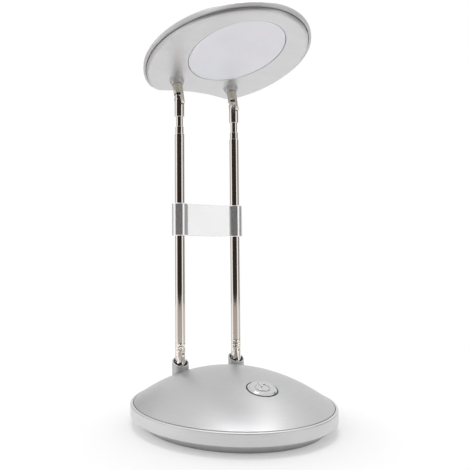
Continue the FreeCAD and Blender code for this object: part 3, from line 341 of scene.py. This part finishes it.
# Grains across one smoother or rougher patch of plastic
PATCH_GRAINS = 6


def plastic(name, grain, smooth, rough):
    finish = Finish(name)
    speckle = finish.noise(scale=grain, detail=3)
    finish.colour(finish.span(speckle))
    finish.roughness(finish.noise(scale=grain / PATCH_GRAINS, detail=3), smooth, rough)
    finish.bump(speckle, height=6e-6)
    return finish.material


def make_finishes():
    """A finish for each of the record's slots, and four more for a few pieces."""
    return {
        "silver_shell": silver_shell("silver_paint"),
        # The same paint made lighter: painted light on the bottom cover and the head's plate
        "painted_lit_silver": silver_shell("painted_lit_silver_paint"),
        "polished_silver": flaked("polished_silver", metallic=0.9, flakes=5200, patches=300,
                                  smooth=0.14, rough=0.20, height=1e-6),
        "clip_plastic": flaked("clip_silver", metallic=0.82, flakes=6500, patches=90,
                               smooth=0.10, rough=0.15, height=3e-7),
        "chrome": chrome("nickel_plating"),
        # Darker plating for the head's studs: painted shade
        "painted_shade_chrome": chrome("painted_shade_plating"),
        "crimped_chrome": crimped_chrome("crimped_plating"),
        "diffuser": diffuser("frosted_diffuser"),
        "rubber": rubber("black_rubber"),
        "cell_wrap": cell_wrap("cell_wrap"),
        "spring_steel": metal("nickel_spring", grain=900, smooth=0.18, rough=0.32),
        "steel": metal("zinc_steel", grain=1200, smooth=0.24, rough=0.42),
        "brass": metal("brass", grain=1000, smooth=0.22, rough=0.38),
        "dark_plastic": plastic("dark_plastic", grain=1500, smooth=0.38, rough=0.55),
        "board_green": plastic("solder_mask", grain=600, smooth=0.22, rough=0.36),
        "board_white": plastic("white_mask", grain=800, smooth=0.30, rough=0.45),
        "led": plastic("phosphor", grain=1400, smooth=0.35, rough=0.5),
    }


# Frame nodes with another finish than their slot's
OWN_FINISHES = {
    "power_button": "polished_silver",
    # These two covers take the lighter shell paint, which is painted light
    "head_bottom_plate": "painted_lit_silver",
    "base_bottom_cover": "painted_lit_silver",
    "left_outer_tube": "crimped_chrome",
    "right_outer_tube": "crimped_chrome",
}


def dress_frame(finishes):
    """Gives each of the frame's nodes its finish."""
    for part in frame["record"]["subparts"]:
        mesh = frame["nodes"][part["node"]].data
        mesh.materials.clear()
        mesh.materials.append(finishes[OWN_FINISHES.get(part["node"], part["material_slot"])])


# Knuckle ears: the frame's ears, turned down to the round of the rods. Ear, joint, body and finish.
KNUCKLES = (
    ("base_stud", "arm_tilt", "root", "chrome"),
    ("tube_foot", "arm_tilt", "arm", "chrome"),
    ("rod_tip", "head_tilt", "{side}_inner", "chrome"),
    # The head's studs take the darker plating, painted shade under the head
    ("head_stud", "head_tilt", "head", "painted_shade_chrome"),
)
# Just inside the bars' own 3 mm, and how near to it a point counts as on the round
KNUCKLE_RADIUS = 0.00299
KNUCKLE_TOUCH = 0.00001
KNUCKLE_SIDES = 96
BAR_HALF_LENGTH = 0.05
# Depth of what counts as an ear's far end
FAR_END = 0.001
SHARP_ANGLE = math.radians(35)


def hinge_point(side, joint):
    """Where that joint's line crosses the middle of that side's rod."""
    low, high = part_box(side + "_outer_tube")
    place = named_joint(joint)["pos_m"]
    return Vector(((low.x + high.x) / 2, place[1], place[2]))


def bar_direction(node, hinge):
    """From the hinge point to the middle of the node's far end."""
    points = [vertex.co for vertex in frame["nodes"][node].data.vertices]
    farthest = max((point - hinge).length for point in points)
    end = [point for point in points if (point - hinge).length > farthest - FAR_END]
    low = Vector(min(point[axis] for point in end) for axis in range(3))
    high = Vector(max(point[axis] for point in end) for axis in range(3))
    return ((low + high) / 2 - hinge).normalized()


def round_bar(middle, along):
    """A cylinder about the bar, long enough to pass both its ends."""
    side = Vector((1, 0, 0))
    front = along.cross(side)
    points = []
    for turn in range(KNUCKLE_SIDES):
        angle = math.tau * turn / KNUCKLE_SIDES
        rim = middle + (side * math.cos(angle) + front * math.sin(angle)) * KNUCKLE_RADIUS
        points += [rim - along * BAR_HALF_LENGTH, rim + along * BAR_HALF_LENGTH]
    count = len(points)
    faces = [(step, (step + 2) % count, (step + 3) % count, step + 1) for step in range(0, count, 2)]
    faces.append(tuple(range(0, count, 2))[::-1])
    faces.append(tuple(range(1, count, 2)))
    return new_object("round_bar", new_mesh("round_bar", points, faces))


def smooth_bar(mesh, middle, along):
    """Normals straight out from the bar's middle line on its round faces."""
    normals = [corner.vector.copy() for corner in mesh.corner_normals]
    for polygon in mesh.polygons:
        outward = []
        for vertex in polygon.vertices:
            out = mesh.vertices[vertex].co - middle
            outward.append(out - along * out.dot(along))
        if any(abs(out.length - KNUCKLE_RADIUS) > KNUCKLE_TOUCH for out in outward):
            continue
        for corner, out in zip(polygon.loop_indices, outward):
            normals[corner] = out.normalized()
    mesh.normals_split_custom_set(normals)


def round_knuckle(node, body, hinge, material):
    """A copy of the ear, cut to the round bar. It takes the ear's place."""
    along = bar_direction(node, hinge)
    blank = new_object("blank", frame["nodes"][node].data.copy())
    bar = round_bar(hinge, along)
    turning = blank.modifiers.new("turning", "BOOLEAN")
    turning.operation = "INTERSECT"
    turning.solver = "EXACT"
    turning.object = bar
    bpy.context.view_layer.update()
    turned = blank.evaluated_get(bpy.context.evaluated_depsgraph_get())
    mesh = bpy.data.meshes.new_from_object(turned)
    for helper in (blank, bar):
        bpy.data.objects.remove(helper)
    mesh.name = node + "_round"
    mesh.materials.clear()
    mesh.materials.append(material)
    mesh.shade_smooth()
    mesh.set_sharp_from_angle(angle=SHARP_ANGLE)
    smooth_bar(mesh, hinge, along)
    knuckle = new_object(node + "_round", mesh)
    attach(knuckle, body)
    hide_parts(node)


def round_knuckles(finishes):
    for ear, joint, body, finish in KNUCKLES:
        for side in ("left", "right"):
            hinge = hinge_point(side, joint)
            round_knuckle(side + "_" + ear, body.format(side=side), hinge, finishes[finish])


# Mark on the power button: an open ring and a bar, raised a little from the cap
MARK_RADIUS = 0.0037
MARK_HALF_GAP = math.radians(32)
MARK_STEPS = 48
MARK_BAR = (0.0006, 0.0046)
MARK_BAR_STEPS = 8
LINE_WIDTH = 0.00062
LINE_HEIGHT = 0.0004
LINE_SIDES = 12
# Height over the cap from which the mark's points are let down
RAY_START = 0.01


def button_face():
    """The cap's axis, the middle of its face, and the directions to the right and away on it."""
    up = -Vector(named_joint("button_press")["axis"]).normalized()
    points = [vertex.co for vertex in frame["nodes"]["power_button"].data.vertices]
    top = max(point.dot(up) for point in points)
    face = [point for point in points if point.dot(up) > top - LINE_HEIGHT]
    middle = sum(face, Vector()) / len(face)
    right = Vector((1, 0, 0))
    return up, middle, right, up.cross(right)


def on_cap(point, up):
    """That point let down onto the cap's face."""
    button = frame["nodes"]["power_button"]
    found, place = button.ray_cast(point + up * RAY_START, -up)[:2]
    return place if found else point


def raised_line(path, up):
    """Points and faces of a low rounded line along the path, with closed ends."""
    points, faces = [], []
    last = len(path) - 1
    for step, place in enumerate(path):
        before, after = path[max(step - 1, 0)], path[min(step + 1, last)]
        side = (after - before).normalized().cross(up)
        for turn in range(LINE_SIDES):
            angle = math.tau * turn / LINE_SIDES
            out = side * (math.cos(angle) * LINE_WIDTH / 2)
            points.append(place + out + up * (math.sin(angle) * LINE_HEIGHT))
    for step in range(last):
        for turn in range(LINE_SIDES):
            near, far = step * LINE_SIDES, (step + 1) * LINE_SIDES
            beside = (turn + 1) % LINE_SIDES
            faces.append((near + turn, far + turn, far + beside, near + beside))
    faces.append(tuple(range(LINE_SIDES)))
    faces.append(tuple(last * LINE_SIDES + turn for turn in reversed(range(LINE_SIDES))))
    return points, faces


def power_mark(material):
    """The ring, open on the side away from the front, and the bar through its gap."""
    up, middle, right, away = button_face()
    ring, bar = [], []
    for step in range(MARK_STEPS + 1):
        angle = MARK_HALF_GAP + (math.tau - 2 * MARK_HALF_GAP) * step / MARK_STEPS
        out = away * math.cos(angle) + right * math.sin(angle)
        ring.append(on_cap(middle + out * MARK_RADIUS, up))
    for step in range(MARK_BAR_STEPS + 1):
        reach = MARK_BAR[0] + (MARK_BAR[1] - MARK_BAR[0]) * step / MARK_BAR_STEPS
        bar.append(on_cap(middle + away * reach, up))
    points, faces = raised_line(ring, up)
    bar_points, bar_faces = raised_line(bar, up)
    start = len(points)
    points += bar_points
    faces += [tuple(start + corner for corner in face) for face in bar_faces]
    mesh = new_mesh("power_mark", points, faces)
    mesh.shade_smooth()
    mesh.materials.append(material)
    mark = new_object("power_mark", mesh)
    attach(mark, "power_button")


# Stage: white background, and a white floor that keeps the lamp's soft shadow
QUAD = [(0, 1, 2, 3)]
WHITE = (1, 1, 1, 1)
WORLD_LIGHT = 0.65
FLOOR_HALF = 4.0
FLOOR_COLOUR = (0.9, 0.9, 0.9, 1)
# Plain white in the floor: its share at the lamp, where it starts to grow, and where there is nothing else
NEAR_WHITE = 0.36
WHITE_FROM = 0.09
WHITE_AT = 0.40
# Glow of the floor in reflections, and the multiples of the base's outline that it grows between
FLOOR_GLOW = 0.15
GLOW_FROM = 0.85
GLOW_AT = 1.4


def base_reach():
    """Half the base's width and depth."""
    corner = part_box("base_bottom_cover")[1]
    return corner.x, corner.y


def rays(nodes, *kinds):
    """1 for rays of those kinds, and 0 for all others."""
    path = nodes.add("ShaderNodeLightPath").outputs
    found = path[f"Is {kinds[0]} Ray"]
    for kind in kinds[1:]:
        found = nodes.calculate("MAXIMUM", found, path[f"Is {kind} Ray"])
    return found


def bare_nodes(owner):
    """The owner's node tree, emptied."""
    nodes = Nodes(owner)
    nodes.tree.nodes.clear()
    return nodes


def make_world():
    """Soft light for the lamp, and plain white wherever the background is seen."""
    world = bpy.data.worlds.new("studio")
    nodes = bare_nodes(world)
    light = nodes.add("ShaderNodeBackground", {"Color": WHITE, "Strength": WORLD_LIGHT}).outputs[0]
    white = nodes.add("ShaderNodeBackground", {"Color": WHITE}).outputs[0]
    seen = rays(nodes, "Camera", "Glossy", "Transmission")
    nodes.add("ShaderNodeOutputWorld", {"Surface": nodes.blend(seen, light, white)})
    bpy.context.scene.world = world


def floor_material():
    """White floor that shows shadows near the lamp, fades into the background, and is clear from below."""
    material = bpy.data.materials.new("floor")
    nodes = bare_nodes(material)
    place = nodes.add("ShaderNodeTexCoord").outputs["Object"]
    outline = nodes.length(nodes.scaled("DIVIDE", place, (*base_reach(), 1)))
    outside = nodes.remap(outline, (GLOW_FROM, GLOW_AT), (0, FLOOR_GLOW), "SMOOTHSTEP")
    strength = nodes.calculate("MULTIPLY", outside, rays(nodes, "Glossy", "Transmission"))
    glow = nodes.add("ShaderNodeEmission", {"Strength": strength}).outputs[0]
    matt = nodes.add("ShaderNodeBsdfDiffuse", {"Color": FLOOR_COLOUR}).outputs[0]
    lit = nodes.add("ShaderNodeAddShader", {0: matt, 1: glow}).outputs[0]
    near = nodes.calculate("MULTIPLY", rays(nodes, "Camera"), NEAR_WHITE)
    fade = nodes.remap(nodes.length(place), (WHITE_FROM, WHITE_AT), (near, 1), "SMOOTHSTEP")
    share = nodes.calculate("MULTIPLY", fade, rays(nodes, "Camera", "Glossy", "Transmission"))
    top = nodes.blend(share, lit, nodes.add("ShaderNodeEmission").outputs[0])
    below = nodes.add("ShaderNodeNewGeometry").outputs["Backfacing"]
    clear = nodes.add("ShaderNodeBsdfTransparent").outputs[0]
    nodes.add("ShaderNodeOutputMaterial", {"Surface": nodes.blend(below, top, clear)})
    return material


def stage_mesh(name, points, faces, material):
    """An object that belongs to the stage, and not to the lamp."""
    mesh = new_mesh(name, points, faces)
    mesh.materials.append(material)
    obj = new_object(name, mesh)
    return obj


def make_floor():
    far = FLOOR_HALF
    corners = [(-far, -far, 0), (far, -far, 0), (far, far, 0), (-far, far, 0)]
    stage_mesh("floor", corners, QUAD, floor_material())


# Cards that only reflections see, set round the rods, at headings in degrees from the camera's side
RODS_PLACE = Vector((0, 0.03, 0))
CARD_DISTANCE = 1.0
CARD_LIFT = 0.0005
ROOM_SIDE = 10
LEFT_SIDE = 128
RIGHT_SIDE = -95
# Bright arc on the floor, between two multiples of the base's outline
ARC_HALF_TURN = math.radians(75)
ARC_STEPS = 64
ARC_INNER = 1.25
ARC_OUTER = 2.6
ARC_LIFT = 0.0003
ARC_STRENGTH = 1.12


def towards_camera(turn=0):
    """The heading from the lamp to the camera, turned by so many degrees."""
    return CAMERA_HEADING + math.pi + math.radians(turn)


def card(name, points, faces, colour, strength=1):
    """A plain glowing card that only reflections see."""
    material = bpy.data.materials.new(name)
    nodes = bare_nodes(material)
    glow = nodes.add("ShaderNodeEmission", {"Color": (*colour, 1), "Strength": strength})
    nodes.add("ShaderNodeOutputMaterial", {"Surface": glow.outputs[0]})
    made = stage_mesh(name, points, faces, material)
    made.visible_camera = False
    made.visible_diffuse = False
    made.visible_shadow = False


def lying_card(name, turn, near, spread, colour):
    """A card just over the floor, widening away from the rods."""
    start = RODS_PLACE + Vector((0, 0, CARD_LIFT))
    along = direction(towards_camera(turn))
    across = rightwards(towards_camera(turn)) * spread
    ends = ((-1, near), (1, near), (1, CARD_DISTANCE), (-1, CARD_DISTANCE))
    corners = [start + (along + across * side) * reach for side, reach in ends]
    card(name, corners, QUAD, colour)


def standing_card(name, turn, half_width, height, colour):
    """A card on the floor, square to that heading from the rods."""
    middle = RODS_PLACE + direction(towards_camera(turn)) * CARD_DISTANCE
    across = rightwards(towards_camera(turn)) * half_width
    up = Vector((0, 0, height))
    corners = [middle - across, middle + across, middle + across + up, middle - across + up]
    card(name, corners, QUAD, colour)


def floor_arc(name):
    """The bright arc, on the camera's side of the base."""
    width, depth = base_reach()
    row = ARC_STEPS + 1
    points = []
    for reach in (ARC_INNER, ARC_OUTER):
        for step in range(row):
            turn = towards_camera() + ARC_HALF_TURN * (2 * step / ARC_STEPS - 1)
            points.append((width * math.sin(turn) * reach, depth * math.cos(turn) * reach, ARC_LIFT))
    faces = [(step, step + 1, row + step + 1, row + step) for step in range(ARC_STEPS)]
    card(name, points, faces, (1, 1, 1), ARC_STRENGTH)


def make_cards():
    """What the chrome reflects: a dark room behind the camera, greys at both sides, and a pale table."""
    standing_card("dark_room", ROOM_SIDE, half_width=1.35, height=0.75, colour=(0.035, 0.026, 0.022))
    lying_card("table", ROOM_SIDE, near=0.19, spread=1.35, colour=(0.45, 0.40, 0.37))
    lying_card("left_table", LEFT_SIDE, near=0.13, spread=0.45, colour=(0.66, 0.62, 0.60))
    lying_card("right_table", RIGHT_SIDE, near=0.19, spread=0.45, colour=(0.56, 0.54, 0.52))
    standing_card("grey_left", LEFT_SIDE, half_width=0.45, height=0.6, colour=(0.42, 0.39, 0.38))
    standing_card("grey_right", RIGHT_SIDE, half_width=0.45, height=0.6, colour=(0.26, 0.25, 0.24))
    floor_arc("white_arc")


# Studio lamps, all square and aimed at the same point over the middle of the base
LAMP_DISTANCE = 1.2
LAMP_SIDE = 0.55
LAMP_TARGET = Vector((0, 0, 0.06))


def studio_lamp(name, heading, height, power):
    """A lamp so many degrees round from the camera's heading, and up from the floor."""
    place = direction(CAMERA_HEADING + math.radians(heading), math.radians(height)) * LAMP_DISTANCE
    turned = (LAMP_TARGET - place).to_track_quat("-Z", "Y").to_matrix().to_4x4()
    data = bpy.data.lights.new(name, "AREA")
    data.size = LAMP_SIDE
    data.energy = power
    lamp = new_object(name, data)
    lamp.matrix_world = Matrix.Translation(place) @ turned


def make_lamps():
    studio_lamp("top_light", heading=0, height=88, power=6.6)
    studio_lamp("back_light", heading=15, height=64, power=0.8)
    studio_lamp("front_light", heading=225, height=48, power=1.1)
    studio_lamp("side_light", heading=300, height=22, power=1.3)


make_camera()
make_world()
make_floor()
make_cards()
make_lamps()
finishes = make_finishes()
dress_frame(finishes)
power_mark(finishes["polished_silver"])
round_knuckles(finishes)
bpy.context.scene.view_settings.view_transform = "Standard"
